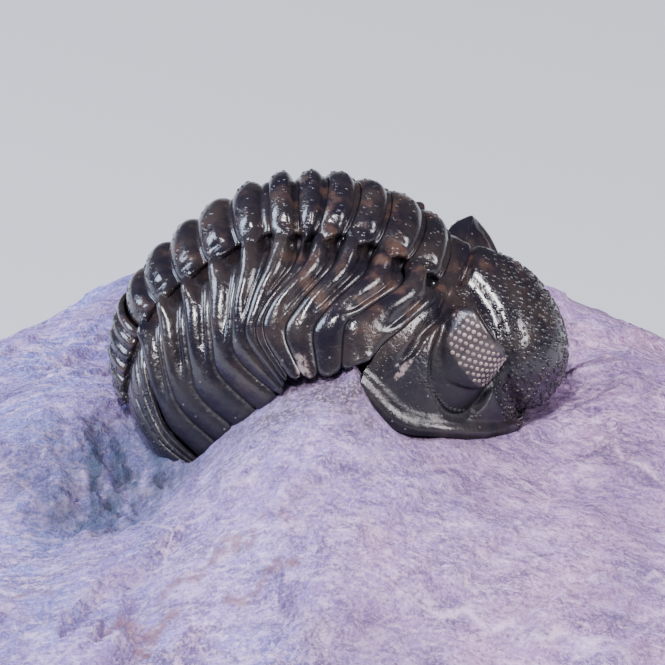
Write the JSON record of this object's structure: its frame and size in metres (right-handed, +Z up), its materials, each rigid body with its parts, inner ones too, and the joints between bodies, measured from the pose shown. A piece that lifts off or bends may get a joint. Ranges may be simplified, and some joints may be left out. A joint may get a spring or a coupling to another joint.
{
  "type": "fossil trilobite on matrix",
  "caption": "Arched fossil trilobite with compound eyes and a tuberculate head, standing on the limestone it was prepared from, with a flat sawn base.",
  "frame": {"origin": "middle of the sawn base of the block, under the middle of the whole object's box", "axes": "+Z up; +X the way the animal's head points; +Y towards the animal's own left side, away from the side that the picture shows"},
  "size_m": [0.0762, 0.0716, 0.0399],
  "materials": {
    "limestone": "matt, fine-grained lavender-grey limestone with pale veins, rust stains and a dark streaked hollow",
    "fossil_shell": "glossy near-black brown calcite shell with tubercles and reddish-brown patches"
  },
  "bodies": {
    "root": {"matrix": "limestone", "cephalon": "fossil_shell", "thoracic_segment_01": "fossil_shell", "thoracic_segment_02": "fossil_shell", "thoracic_segment_03": "fossil_shell", "thoracic_segment_04": "fossil_shell", "thoracic_segment_05": "fossil_shell", "thoracic_segment_06": "fossil_shell", "thoracic_segment_07": "fossil_shell", "thoracic_segment_08": "fossil_shell", "thoracic_segment_09": "fossil_shell", "thoracic_segment_10": "fossil_shell", "thoracic_segment_11": "fossil_shell", "pygidium": "fossil_shell"}
  },
  "joints": []
}
